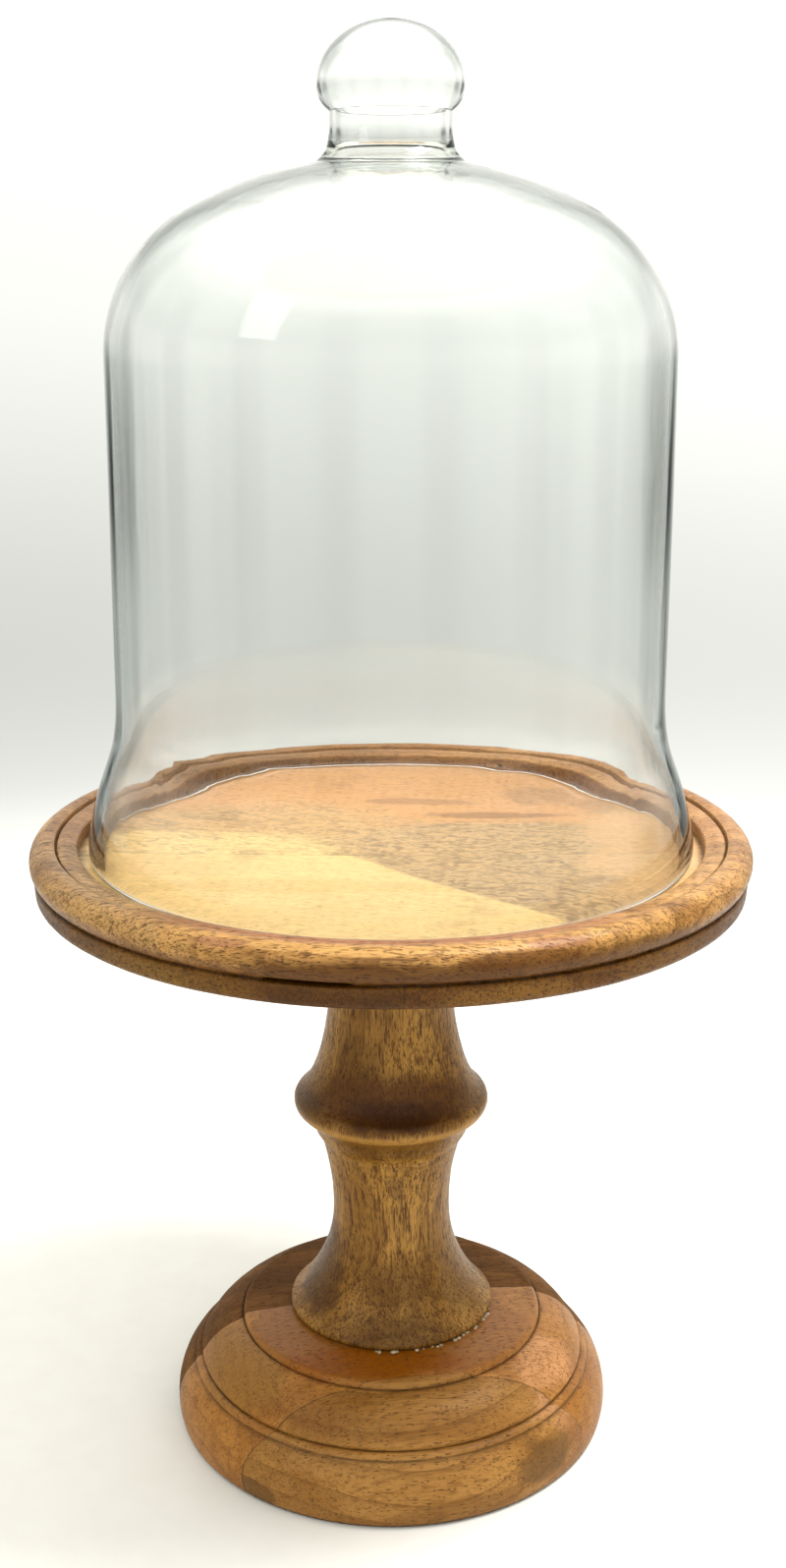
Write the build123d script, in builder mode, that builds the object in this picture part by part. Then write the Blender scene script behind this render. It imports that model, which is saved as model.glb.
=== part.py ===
from build123d import *
import os

os.makedirs("parts", exist_ok=True)

# A glass bell jar standing in the recess of a turned wooden pedestal plate.
# Millimetres, +Z up, origin at the centre of the underside of the felt.

# ------------------------------------------------------------ driving dimensions
felt_thickness = 1.5
felt_radius = 94.6

# base: three boards glued edge to edge, then turned
base_foot_radius = 95.4
base_bulge = (96.4, 8.5)            # widest point of the skirt (radius, height)
skirt_top = (88.9, 26.3)
fillet_start = (88.5, 26.9)         # narrow band above the skirt
fillet_middle = (87.2, 28.5)
base_groove = (85.1, 29.2)          # V-groove between the band and the middle ring
ring_outer = (85.3, 30.8)
ring_middle = (78.6, 39.4)
ring_inner = (67.2, 45.9)
disc_groove = (66.6, 45.6)
disc_edge = (66.2, 47.3)            # raised inner disc with a rounded edge
disc_round_middle = (65.6, 48.2)
disc_round_end = (64.4, 48.8)
base_top = 50.0                     # flat seat under the column
seat_radius = 46.0
glue_normal_angle = -80.5           # direction the glue planes of the base face, degrees
front_glue_offset = 62.0            # distance of the front glue plane from the axis

# column: one turned piece with a bead at half height
foot_radius = 45.3
foot_edge_height = 2.8
foot_edge_inset = 0.5
foot_flare = (30.2, 74.5)
lower_neck = (25.6, 99.0)
lower_neck_flare = (26.85, 115.0)
bead_underside = (30.2, 130.4)
bead_fillet = (31.9, 131.6)
bead_fillet_height = 1.8
bead_groove = (31.7, 134.4)
bead_start = (33.0, 135.0)
bead_hollow = (35.0, 139.7)
bead_low = (38.4, 143.6)
bead_nose = (42.3, 149.0)
bead_high = (39.8, 153.6)
bead_slope = (33.0, 164.8)
bead_slope_end = (28.2, 184.0)
upper_neck = (26.4, 205.0)
collar_flare = (30.9, 227.1)
collar_radius = 45.0
spigot_radius = 15.0
spigot_length = 15.0

# plate: two crossed layers of boards, glued, then turned
plate_underside = 249.0
layer_joint = 258.6
under_radius = 147.9
under_round = 3.6
under_top_middle = (147.4, 257.7)   # rounding of the lower layer into the groove at the joint
under_top_start = 256.6
joint_groove_radius = 146.0
joint_groove_low = 258.2
joint_groove_high = 259.05
bead_ring_nose = (149.8, 265.0)     # half-round bead along the edge of the plate
bead_ring_inner = (139.5, 271.18)
rim_groove = (138.9, 269.4)
ring_edge = (138.1, 270.2)
ring_middle_top = (134.6, 270.45)
ring_lip_height = 269.6
recess_radius = 130.0
recess_floor = 264.5
recess_lip = 1.2
top_glue_y = -19.0                  # glue line between the two upper boards
under_glue_x = 4.8                  # glue line between the two lower boards

# glass: one blown piece with a hollow knob
dome_lift_gap = 0.3
wall = 3.5
flare_wall = 3.85
rim_thickness = 4.6
rim_outer_radius = 125.6
flare_low = (121.3, 289.0)
flare_high = (114.0, 311.5)
flare_top = (112.0, 332.0)
wall_radius = 111.8
shoulder_radius = 64.0
crown_radius = 172.0
crown_top = 538.9
crown_middle_radius = 55.0
neck_root_fillet = 8.0
neck_root_inner = 1.5
neck_root_outer_middle = (25.5, 540.2)
neck_root_inner_middle = (21.7, 538.2)
neck_outer = (23.5, 549.0)
neck_wall = 2.4
knob_centre_height = 565.0
knob_half_width = 28.2
knob_half_height = 22.8
knob_foot_height = 555.0
knob_lobe = (27.2, 559.3)
knob_lobe_inner = (24.8, 559.9)
knob_wall = 2.2

# hidden metal
screw_radius = 4.0
lag_clearance_radius = 4.2
lag_length = 75.0
lag_head_flats = 13.0
lag_head_height = 5.5
washer_radius = 12.0
washer_thickness = 2.0
counterbore_radius = 13.0
counterbore_depth = 12.0
hanger_wood_length = 45.0
hanger_machine_length = 10.5
insert_radius = 6.0
insert_length = 11.0
thread_depth = 0.9
plain_shank = 3.0
wood_thread_pitch = 3.0
machine_thread_pitch = 1.25
screw_tip = 4.0


def glue_plane(angle, offset):
    """Vertical plane that faces angle (degrees) at offset from the axis."""
    normal = Vector(1, 0, 0).rotate(Axis.Z, angle)
    return Plane(origin=normal * offset, z_dir=normal)


def ridges(start, end, outer, pitch, depth):
    """Corners of a threaded outline from height start up to height end."""
    count = int((end - start) / pitch)
    corners = []
    for turn in range(count):
        low = start + turn * pitch
        corners.append((outer - depth, low))
        corners.append((outer, low + pitch / 2))
    corners.append((outer - depth, start + count * pitch))
    return corners


# ------------------------------------------------------------ felt under the base
with BuildPart() as felt_pad:
    with BuildSketch(Plane.XY):
        Circle(felt_radius)
    extrude(amount=felt_thickness)
felt_pad.part.label = "felt_pad"
export_step(felt_pad.part, "parts/felt_pad.step")

# ------------------------------------------------------------ base boards
with BuildSketch(Plane.XZ) as base_outline:
    with BuildLine():
        Polyline((0, base_top), (0, felt_thickness), (base_foot_radius, felt_thickness))
        ThreePointArc((base_foot_radius, felt_thickness), base_bulge, skirt_top)
        Line(skirt_top, fillet_start)
        ThreePointArc(fillet_start, fillet_middle, base_groove)
        Line(base_groove, ring_outer)
        ThreePointArc(ring_outer, ring_middle, ring_inner)
        Polyline(ring_inner, disc_groove, disc_edge)
        ThreePointArc(disc_edge, disc_round_middle, disc_round_end)
        Polyline(disc_round_end, (seat_radius, base_top), (0, base_top))
    make_face()

base_front_plane = glue_plane(glue_normal_angle, front_glue_offset)
base_back_plane = glue_plane(glue_normal_angle, 0)
screw_ceiling = felt_thickness + counterbore_depth
spigot_foot = base_top - spigot_length

with BuildPart() as screw_way:
    with BuildSketch(Plane.XY.offset(felt_thickness)):
        Circle(counterbore_radius)
    extrude(amount=counterbore_depth)
    with BuildSketch(Plane.XY.offset(screw_ceiling)):
        Circle(lag_clearance_radius)
    extrude(amount=spigot_foot - screw_ceiling)
    with BuildSketch(Plane.XY.offset(spigot_foot)):
        Circle(spigot_radius)
    extrude(amount=spigot_length)

with BuildPart() as base_board_front:
    revolve(base_outline.sketch, axis=Axis.Z)
    split(bisect_by=base_front_plane, keep=Keep.TOP)
base_board_front.part.label = "base_board_front"
export_step(base_board_front.part, "parts/base_board_front.step")

with BuildPart() as base_board_middle:
    revolve(base_outline.sketch, axis=Axis.Z)
    split(bisect_by=base_front_plane, keep=Keep.BOTTOM)
    split(bisect_by=base_back_plane, keep=Keep.TOP)
    add(screw_way.part, mode=Mode.SUBTRACT)
base_board_middle.part.label = "base_board_middle"
export_step(base_board_middle.part, "parts/base_board_middle.step")

with BuildPart() as base_board_back:
    revolve(base_outline.sketch, axis=Axis.Z)
    split(bisect_by=base_back_plane, keep=Keep.BOTTOM)
    add(screw_way.part, mode=Mode.SUBTRACT)
base_board_back.part.label = "base_board_back"
export_step(base_board_back.part, "parts/base_board_back.step")

# ------------------------------------------------------------ lag screw and washer
washer_foot = screw_ceiling - washer_thickness
head_foot = washer_foot - lag_head_height
lag_tip = washer_foot + lag_length

with BuildPart() as base_washer:
    with BuildSketch(Plane.XY.offset(washer_foot)):
        Circle(washer_radius)
        Circle(lag_clearance_radius, mode=Mode.SUBTRACT)
    extrude(amount=washer_thickness)
base_washer.part.label = "base_washer"
export_step(base_washer.part, "parts/base_washer.step")

with BuildPart() as base_lag_screw:
    with BuildSketch(Plane.XY.offset(head_foot)):
        RegularPolygon(lag_head_flats / 2, 6, major_radius=False)
    extrude(amount=lag_head_height)
    with BuildSketch(Plane.XZ):
        with BuildLine():
            thread_start = spigot_foot + plain_shank
            thread_end = lag_tip - screw_tip
            turns = ridges(thread_start, thread_end, screw_radius, wood_thread_pitch, thread_depth)
            Polyline((0, washer_foot), (screw_radius, washer_foot), (screw_radius, thread_start), turns[0])
            Polyline(*turns)
            Polyline(turns[-1], (0, lag_tip), (0, washer_foot))
        make_face()
    revolve(axis=Axis.Z)
base_lag_screw.part.label = "base_lag_screw"
export_step(base_lag_screw.part, "parts/base_lag_screw.step")

# ------------------------------------------------------------ column
with BuildPart() as stem_column:
    with BuildSketch(Plane.XZ):
        with BuildLine():
            foot_edge = (foot_radius - foot_edge_inset, base_top + foot_edge_height)
            collar_edge = (collar_radius - foot_edge_inset, plate_underside - foot_edge_height)
            Polyline(
                (0, spigot_foot),
                (spigot_radius, spigot_foot),
                (spigot_radius, base_top),
                (foot_radius, base_top),
                foot_edge,
            )
            ThreePointArc(foot_edge, foot_flare, lower_neck)
            ThreePointArc(lower_neck, lower_neck_flare, bead_underside)
            Polyline(
                bead_underside,
                bead_fillet,
                (bead_fillet[0], bead_fillet[1] + bead_fillet_height),
                bead_groove,
                bead_start,
            )
            ThreePointArc(bead_start, bead_hollow, bead_low)
            ThreePointArc(bead_low, bead_nose, bead_high)
            Spline(bead_high, bead_slope, bead_slope_end, upper_neck, tangents=((-1, 0.95), (0, 1)))
            ThreePointArc(upper_neck, collar_flare, collar_edge)
            Polyline(collar_edge, (collar_radius, plate_underside), (0, plate_underside), (0, spigot_foot))
        make_face()
    revolve(axis=Axis.Z)
    with BuildSketch(Plane.XY.offset(spigot_foot)):
        Circle(screw_radius)
    extrude(amount=lag_tip - spigot_foot, mode=Mode.SUBTRACT)
    with BuildSketch(Plane.XY.offset(plate_underside - hanger_wood_length)):
        Circle(screw_radius)
    extrude(amount=hanger_wood_length, mode=Mode.SUBTRACT)
stem_column.part.label = "stem_column"
export_step(stem_column.part, "parts/stem_column.step")

# ------------------------------------------------------------ hanger bolt and threaded insert
hanger_foot = plate_underside - hanger_wood_length
collar_start = plate_underside - plain_shank

with BuildPart() as stem_hanger_bolt:
    with BuildSketch(Plane.XZ):
        with BuildLine():
            wood_turns = ridges(
                hanger_foot + screw_tip, collar_start, screw_radius, wood_thread_pitch, thread_depth
            )
            machine_turns = ridges(
                plate_underside, plate_underside + hanger_machine_length, screw_radius,
                machine_thread_pitch, thread_depth / 2
            )
            Polyline((0, hanger_foot), *wood_turns)
            Polyline(
                wood_turns[-1],
                (screw_radius, collar_start),
                (screw_radius, plate_underside),
                machine_turns[0],
            )
            Polyline(*machine_turns)
            Polyline(machine_turns[-1], (0, machine_turns[-1][1]), (0, hanger_foot))
        make_face()
    revolve(axis=Axis.Z)
stem_hanger_bolt.part.label = "stem_hanger_bolt"
export_step(stem_hanger_bolt.part, "parts/stem_hanger_bolt.step")

with BuildPart() as plate_threaded_insert:
    with BuildSketch(Plane.XZ):
        with BuildLine():
            insert_turns = ridges(
                plate_underside + thread_depth, plate_underside + insert_length, insert_radius,
                wood_thread_pitch, thread_depth
            )
            insert_top = plate_underside + insert_length
            Polyline(
                (screw_radius, insert_top),
                (screw_radius, plate_underside),
                (insert_radius, plate_underside),
                insert_turns[0],
            )
            Polyline(*insert_turns)
            Polyline(
                insert_turns[-1],
                (insert_radius - thread_depth, insert_top),
                (screw_radius, insert_top),
            )
        make_face()
    revolve(axis=Axis.Z)
plate_threaded_insert.part.label = "plate_threaded_insert"
export_step(plate_threaded_insert.part, "parts/plate_threaded_insert.step")

# ------------------------------------------------------------ lower layer of the plate
with BuildSketch(Plane.XZ) as under_outline:
    with BuildLine():
        top_edge = (joint_groove_radius, joint_groove_low)
        Polyline(
            (0, layer_joint),
            (0, plate_underside),
            (under_radius - under_round, plate_underside),
        )
        bottom_round = RadiusArc(
            (under_radius - under_round, plate_underside),
            (under_radius, plate_underside + under_round),
            -under_round,
        )
        Line(bottom_round @ 1, (under_radius, under_top_start))
        ThreePointArc((under_radius, under_top_start), under_top_middle, top_edge)
        Polyline(top_edge, (joint_groove_radius, layer_joint), (0, layer_joint))
    make_face()

under_plane = Plane(origin=(under_glue_x, 0, 0), z_dir=(1, 0, 0))

with BuildPart() as insert_way:
    with BuildSketch(Plane.XY.offset(plate_underside)):
        Circle(insert_radius)
    extrude(amount=insert_length)

with BuildPart() as plate_under_board_left:
    revolve(under_outline.sketch, axis=Axis.Z)
    split(bisect_by=under_plane, keep=Keep.BOTTOM)
    add(insert_way.part, mode=Mode.SUBTRACT)
plate_under_board_left.part.label = "plate_under_board_left"
export_step(plate_under_board_left.part, "parts/plate_under_board_left.step")

with BuildPart() as plate_under_board_right:
    revolve(under_outline.sketch, axis=Axis.Z)
    split(bisect_by=under_plane, keep=Keep.TOP)
    add(insert_way.part, mode=Mode.SUBTRACT)
plate_under_board_right.part.label = "plate_under_board_right"
export_step(plate_under_board_right.part, "parts/plate_under_board_right.step")

# ------------------------------------------------------------ upper layer of the plate
with BuildSketch(Plane.XZ) as top_outline:
    with BuildLine():
        bead_foot = (joint_groove_radius + 0.5, joint_groove_high)
        lip_top = (recess_radius + recess_lip, ring_lip_height)
        lip_bottom = (recess_radius, ring_lip_height - recess_lip)
        Polyline(
            (0, recess_floor),
            (0, layer_joint),
            (joint_groove_radius, layer_joint),
            bead_foot,
        )
        ThreePointArc(bead_foot, bead_ring_nose, bead_ring_inner)
        Polyline(bead_ring_inner, rim_groove, ring_edge)
        ThreePointArc(ring_edge, ring_middle_top, lip_top)
        RadiusArc(lip_top, lip_bottom, recess_lip)
        Polyline(lip_bottom, (recess_radius, recess_floor), (0, recess_floor))
    make_face()

top_plane = Plane(origin=(0, top_glue_y, 0), z_dir=(0, 1, 0))

with BuildPart() as plate_top_board_front:
    revolve(top_outline.sketch, axis=Axis.Z)
    split(bisect_by=top_plane, keep=Keep.BOTTOM)
plate_top_board_front.part.label = "plate_top_board_front"
export_step(plate_top_board_front.part, "parts/plate_top_board_front.step")

with BuildPart() as plate_top_board_back:
    revolve(top_outline.sketch, axis=Axis.Z)
    split(bisect_by=top_plane, keep=Keep.TOP)
    add(insert_way.part, mode=Mode.SUBTRACT)
plate_top_board_back.part.label = "plate_top_board_back"
export_step(plate_top_board_back.part, "parts/plate_top_board_back.step")

# ------------------------------------------------------------ glass dome
rim_foot = recess_floor + dome_lift_gap
rim_round = rim_thickness / 2
crown_centre = crown_top - crown_radius
shoulder_centre_radius = wall_radius - shoulder_radius
centre_gap = crown_radius - shoulder_radius
shoulder_centre_height = crown_centre + (centre_gap**2 - shoulder_centre_radius**2) ** 0.5


def crown_point(radius, sphere):
    """Point of the crown at a radius, on the sphere of the given size."""
    return (radius, crown_centre + (sphere**2 - radius**2) ** 0.5)


def shoulder_top(inset):
    """Where the shoulder meets the crown, on a surface inset from the outside."""
    share = (crown_radius - inset) / centre_gap
    return (
        shoulder_centre_radius * share,
        crown_centre + (shoulder_centre_height - crown_centre) * share,
    )


def shoulder_middle(inset):
    """Middle of the shoulder arc, on a surface inset from the outside."""
    foot = Vector(1, 0)
    top = Vector(*shoulder_top(0)) - Vector(shoulder_centre_radius, shoulder_centre_height)
    halfway = (foot + top.normalized()).normalized() * (shoulder_radius - inset)
    return (shoulder_centre_radius + halfway.X, shoulder_centre_height + halfway.Y)


def knob_top(half_width, half_height):
    """Points over the top of the knob, from its widest place to the axis."""
    half = 0.5**0.5
    return (
        (half_width, knob_centre_height),
        (half_width * half, knob_centre_height + half_height * half),
        (0, knob_centre_height + half_height),
    )


with BuildPart() as glass_dome:
    with BuildSketch(Plane.XZ):
        with BuildLine():
            rim_inner_radius = rim_outer_radius - rim_thickness
            rim_mid = rim_outer_radius - rim_round
            inner_flare_low = (flare_low[0] - flare_wall, flare_low[1])
            inner_flare_high = (flare_high[0] - flare_wall, flare_high[1])
            inner_flare_top = (flare_top[0] - wall, flare_top[1])
            outer_root = crown_point(neck_outer[0] + neck_root_fillet, crown_radius)
            inner_root = crown_point(neck_outer[0] + neck_root_inner, crown_radius - wall)
            neck_inner_radius = neck_outer[0] - neck_wall
            inner_neck = (neck_inner_radius, neck_outer[1])
            knob_inner_half_width = knob_half_width - knob_wall
            knob_inner_half_height = knob_half_height - knob_wall
            knob_foot = (neck_outer[0], knob_foot_height)
            knob_inner_foot = (neck_inner_radius, knob_foot_height)
            # outside, from the rim up to the knob
            ThreePointArc(
                (rim_inner_radius, rim_foot + rim_round),
                (rim_mid, rim_foot),
                (rim_outer_radius, rim_foot + rim_round),
            )
            Spline(
                (rim_outer_radius, rim_foot + rim_round),
                flare_low,
                flare_high,
                flare_top,
                tangents=((0, 1), (-0.01, 1)),
            )
            Line(flare_top, (wall_radius, shoulder_centre_height))
            ThreePointArc(
                (wall_radius, shoulder_centre_height), shoulder_middle(0), shoulder_top(0)
            )
            ThreePointArc(shoulder_top(0), crown_point(crown_middle_radius, crown_radius), outer_root)
            Spline(outer_root, neck_root_outer_middle, neck_outer, tangents=((-1, 0.2), (-0.05, 1)))
            Line(neck_outer, knob_foot)
            ThreePointArc(knob_foot, knob_lobe, (knob_half_width, knob_centre_height))
            Spline(*knob_top(knob_half_width, knob_half_height), tangents=((0, 1), (-1, 0)))
            # inside, from the knob back down to the rim
            Line((0, knob_centre_height + knob_half_height), (0, knob_centre_height + knob_inner_half_height))
            Spline(*knob_top(knob_inner_half_width, knob_inner_half_height), tangents=((0, 1), (-1, 0)))
            ThreePointArc(
                (knob_inner_half_width, knob_centre_height), knob_lobe_inner, knob_inner_foot
            )
            Line(knob_inner_foot, inner_neck)
            Spline(inner_neck, neck_root_inner_middle, inner_root, tangents=((0, -1), (1, -0.25)))
            ThreePointArc(inner_root, crown_point(crown_middle_radius, crown_radius - wall), shoulder_top(wall))
            ThreePointArc(
                shoulder_top(wall), shoulder_middle(wall), (wall_radius - wall, shoulder_centre_height)
            )
            Line((wall_radius - wall, shoulder_centre_height), inner_flare_top)
            Spline(
                inner_flare_top,
                inner_flare_high,
                inner_flare_low,
                (rim_inner_radius, rim_foot + rim_round),
                tangents=((0.01, -1), (0, -1)),
            )
        make_face()
    revolve(axis=Axis.Z)
glass_dome.part.label = "glass_dome"
export_step(glass_dome.part, "parts/glass_dome.step")
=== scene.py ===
import math
import random
from typing import NamedTuple

import bmesh
import bpy
import numpy as np
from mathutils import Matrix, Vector, noise


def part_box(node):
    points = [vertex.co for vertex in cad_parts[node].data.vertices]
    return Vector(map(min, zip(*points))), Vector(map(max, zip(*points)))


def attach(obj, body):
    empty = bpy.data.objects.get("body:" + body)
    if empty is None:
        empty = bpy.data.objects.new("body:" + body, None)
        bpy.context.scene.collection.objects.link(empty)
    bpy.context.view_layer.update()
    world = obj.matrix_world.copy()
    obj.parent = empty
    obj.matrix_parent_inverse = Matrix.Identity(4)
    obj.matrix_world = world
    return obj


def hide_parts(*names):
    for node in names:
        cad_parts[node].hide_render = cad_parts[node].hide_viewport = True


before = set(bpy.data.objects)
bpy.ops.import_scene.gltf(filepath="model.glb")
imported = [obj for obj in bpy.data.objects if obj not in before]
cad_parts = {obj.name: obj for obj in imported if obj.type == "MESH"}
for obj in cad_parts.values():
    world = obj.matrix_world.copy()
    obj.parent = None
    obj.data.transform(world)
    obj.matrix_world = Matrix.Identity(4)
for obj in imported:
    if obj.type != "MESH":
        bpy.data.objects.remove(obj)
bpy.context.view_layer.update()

# A glass bell jar on a turned mango-wood pedestal. Outlines are in millimetres,
# as (radius, height); everything placed in the scene is in metres.
MM = 0.001

# -------- places taken from the frame
felt_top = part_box("felt_pad")[1].z / MM
base_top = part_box("base_board_middle")[1].z / MM
plate_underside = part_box("plate_under_board_left")[0].z / MM
layer_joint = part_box("plate_under_board_left")[1].z / MM
rim_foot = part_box("glass_dome")[0].z / MM
knob_top_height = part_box("glass_dome")[1].z / MM
felt_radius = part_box("felt_pad")[1].x / MM
under_glue_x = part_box("plate_under_board_right")[0].x
top_glue_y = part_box("plate_top_board_back")[0].y

# -------- sizes the frame doesn't give
base_glue_angle = math.radians(-80.5)
base_front_offset = 0.062

screw_hole = 4.0
lag_screw_way = 4.2
counterbore_radius = 13.0
counterbore_roof = base_top - 36.5
spigot_radius = 15.0
spigot_foot = base_top - 15.0
lag_screw_tip = 86.5
hanger_bolt_foot = plate_underside - 45.0
insert_radius = 6.0
insert_top = 260.0

joint_radius = 147.1
recess_radius = 130.0
recess_floor = 264.5
felt_round = 0.7

glass_thickness = 3.5
crown_sphere = 172.0
crown_centre = 538.9 - crown_sphere
shoulder_radius = 64.0
shoulder_axis = 47.8
shoulder_reach = crown_sphere - shoulder_radius
wall_foot = 332.0
neck_foot = 549.0
neck_top = 555.0
knob_middle = 565.0
knob_radius = 28.2
knob_glass = 2.2

# -------- outline helpers


def arc(start, middle, end, steps=10):
    """Points of the circle through three points, from start to end."""
    a, b, c = (np.array(p, float) for p in (start, middle, end))
    rows = np.array([b - a, c - a])
    centre = np.linalg.solve(2 * rows, [b @ b - a @ a, c @ c - a @ a])
    first, second, last = (math.atan2(*(p - centre)[::-1]) for p in (a, b, c))
    turn = (last - first) % math.tau
    if (second - first) % math.tau > turn:
        turn -= math.tau
    radius = np.linalg.norm(a - centre)
    angles = first + turn * np.linspace(0, 1, steps + 1)
    return [tuple(centre + radius * np.array([math.cos(t), math.sin(t)])) for t in angles]


def line(start, end, steps=1):
    """Evenly spaced points from start to end."""
    return [tuple(p) for p in np.linspace(start, end, steps + 1)]


def curve(points, start_way, end_way, steps=10):
    """Smooth line through points, leaving and arriving along the given directions."""
    p = np.array(points, float)
    ways = np.gradient(p, axis=0)
    for end, way in ((0, start_way), (-1, end_way)):
        neighbour = 1 if end == 0 else -2
        reach = np.linalg.norm(p[neighbour] - p[end])
        ways[end] = np.array(way, float) / np.linalg.norm(way) * reach
    made = []
    for a, b, da, db in zip(p[:-1], p[1:], ways[:-1], ways[1:]):
        for t in np.linspace(0, 1, steps + 1):
            bend = (2 * t**3 - 3 * t**2 + 1) * a + (t**3 - 2 * t**2 + t) * da
            made.append(tuple(bend + (3 * t**2 - 2 * t**3) * b + (t**3 - t**2) * db))
    return made


def joined(*stretches):
    """One outline from stretches that meet end to end, with no point twice."""
    outline = []
    for stretch in stretches:
        for point in stretch:
            if not outline or math.dist(point, outline[-1]) > 1e-4:
                outline.append(point)
    if math.dist(outline[0], outline[-1]) < 1e-4:
        outline.pop()
    return outline


# -------- mesh helpers


def lathe(name, outline, turns, relief=None):
    """Closed solid of revolution of a closed outline, with relief added to its points."""
    angles = np.arange(turns) * math.tau / turns
    points, rows = [], []
    for radius, height in outline:
        if radius < 1e-6:
            rows.append([len(points)] * turns)
            points.append((0.0, 0.0, height))
            continue
        rows.append(list(range(len(points), len(points) + turns)))
        points += [(radius * math.cos(t), radius * math.sin(t), height) for t in angles]
    faces = []
    for low, high in zip(rows, rows[1:] + rows[:1]):
        for i in range(turns):
            j = (i + 1) % turns
            corners = [low[i], low[j], high[j], high[i]]
            faces.append(list(dict.fromkeys(corners)))
    faces = [f for f in faces if len(f) > 2]
    if relief:
        points = [relief(Vector(p)) for p in points]
    mesh = bpy.data.meshes.new(name)
    mesh.from_pydata([[c * MM for c in p] for p in points], [], faces)
    piece = bpy.data.objects.new(name, mesh)
    bpy.context.scene.collection.objects.link(piece)
    tidy_mesh(piece)
    return piece


def tidy_mesh(piece):
    """Outward faces, smooth shading, and sharp edges only at real corners."""
    work = bmesh.new()
    work.from_mesh(piece.data)
    bmesh.ops.recalc_face_normals(work, faces=work.faces)
    for face in work.faces:
        face.smooth = True
    work.to_mesh(piece.data)
    work.free()
    piece.data.set_sharp_from_angle(angle=math.radians(32))


def keep_side(piece, point, normal):
    """Cuts the solid at a plane, keeps the side that normal points to, and closes it."""
    work = bmesh.new()
    work.from_mesh(piece.data)
    cut = bmesh.ops.bisect_plane(
        work, geom=work.verts[:] + work.edges[:] + work.faces[:], dist=1e-7,
        plane_co=point, plane_no=normal, clear_inner=True,
    )
    rim = [e for e in cut["geom_cut"] if isinstance(e, bmesh.types.BMEdge)]
    bmesh.ops.holes_fill(work, edges=rim, sides=0)
    bmesh.ops.triangulate(work, faces=[f for f in work.faces if len(f.verts) > 4])
    work.to_mesh(piece.data)
    work.free()
    tidy_mesh(piece)
    return piece


def mark(piece, name, places, width):
    """Point attribute, 1 on the turned lines at the given (radius, height) places, 0 away."""
    co = np.zeros(len(piece.data.vertices) * 3)
    piece.data.vertices.foreach_get("co", co)
    co = co.reshape(-1, 3) / MM
    flat = np.stack([np.hypot(co[:, 0], co[:, 1]), co[:, 2]], axis=1)
    amount = np.zeros(len(flat))
    for place in places:
        away = np.linalg.norm(flat - np.array(place), axis=1)
        amount = np.maximum(amount, np.exp(-((away / width) ** 2)))
    attribute = piece.data.attributes.new(name, "FLOAT", "POINT")
    attribute.data.foreach_set("value", amount.astype(np.float32))


def wobble(point, wavelength, amount, seed=0.0):
    """Smooth random number from -amount to amount that changes over one wavelength."""
    return amount * noise.noise(point / wavelength + Vector((seed, 2.3 * seed, -seed)))


def pushed(point, outward, upward=0.0):
    """The point moved away from the axis and up."""
    flat = Vector((point.x, point.y, 0))
    if flat.length < 1e-6:
        return point + Vector((0, 0, upward))
    return point + flat.normalized() * outward + Vector((0, 0, upward))


# -------- node helpers


class Graph:
    """Short calls that build the nodes of one material or world."""

    def __init__(self, owner):
        owner.use_nodes = True
        self.owner = owner
        self.tree = owner.node_tree
        self.tree.nodes.clear()

    def node(self, kind, inputs=None, **settings):
        made = self.tree.nodes.new(kind)
        for key, value in settings.items():
            setattr(made, key, value)
        for key, value in (inputs or {}).items():
            if isinstance(value, bpy.types.NodeSocket):
                self.tree.links.new(value, made.inputs[key])
            else:
                made.inputs[key].default_value = value
        return made

    def math(self, operation, a, b=0.0, clamp=False):
        made = self.node("ShaderNodeMath", {0: a, 1: b}, operation=operation, use_clamp=clamp)
        return made.outputs[0]

    def vector(self, operation, a, b):
        made = self.node("ShaderNodeVectorMath", {0: a, 1: b}, operation=operation)
        return made.outputs["Value" if operation == "DOT_PRODUCT" else "Vector"]

    def length(self, vector):
        made = self.node("ShaderNodeVectorMath", {0: vector}, operation="LENGTH")
        return made.outputs["Value"]

    def split(self, vector):
        return self.node("ShaderNodeSeparateXYZ", {0: vector}).outputs

    def noise(self, vector, scale, detail=3.0, rough=0.55, output="Fac"):
        inputs = {"Vector": vector, "Scale": scale, "Detail": detail, "Roughness": rough}
        return self.node("ShaderNodeTexNoise", inputs).outputs[output]

    def smooth(self, value, low, high, start=0.0, end=1.0):
        """Value from low to high as a soft step from start to end."""
        inputs = {"Value": value, "From Min": low, "From Max": high, "To Min": start, "To Max": end}
        made = self.node("ShaderNodeMapRange", inputs, interpolation_type="SMOOTHSTEP")
        return made.outputs["Result"]

    def mix(self, share, a, b, blend="MIX"):
        made = self.node("ShaderNodeMix", {0: share, 6: a, 7: b}, data_type="RGBA", blend_type=blend)
        return made.outputs[2]

    def attribute(self, name):
        return self.node("ShaderNodeAttribute", attribute_name=name).outputs["Fac"]

    def place(self):
        return self.node("ShaderNodeTexCoord").outputs["Object"]


def tint(red, green, blue):
    """Linear colour of an sRGB colour given as 0 to 255."""
    parts = [c / 255 for c in (red, green, blue)]
    linear = [c / 12.92 if c < 0.0405 else ((c + 0.055) / 1.055) ** 2.4 for c in parts]
    return (*linear, 1.0)


# -------- wood


def fibre_space(g, turn, seed):
    """Coordinates with the grain along X, the fibres wandering a little."""
    turned = g.node("ShaderNodeMapping", {"Vector": g.place(), "Rotation": turn}).outputs[0]
    slow = g.vector("MULTIPLY", turned, (0.35, 1.0, 1.0))
    shifted = g.vector("ADD", slow, (seed, 1.7 * seed, 0.6 * seed))
    wander = g.noise(shifted, 16.0, 2.0, 0.5, "Color")
    wander = g.vector("SUBTRACT", wander, (0.5, 0.5, 0.5))
    return g.vector("ADD", turned, g.vector("MULTIPLY", wander, (0.0, 0.016, 0.016)))


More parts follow.
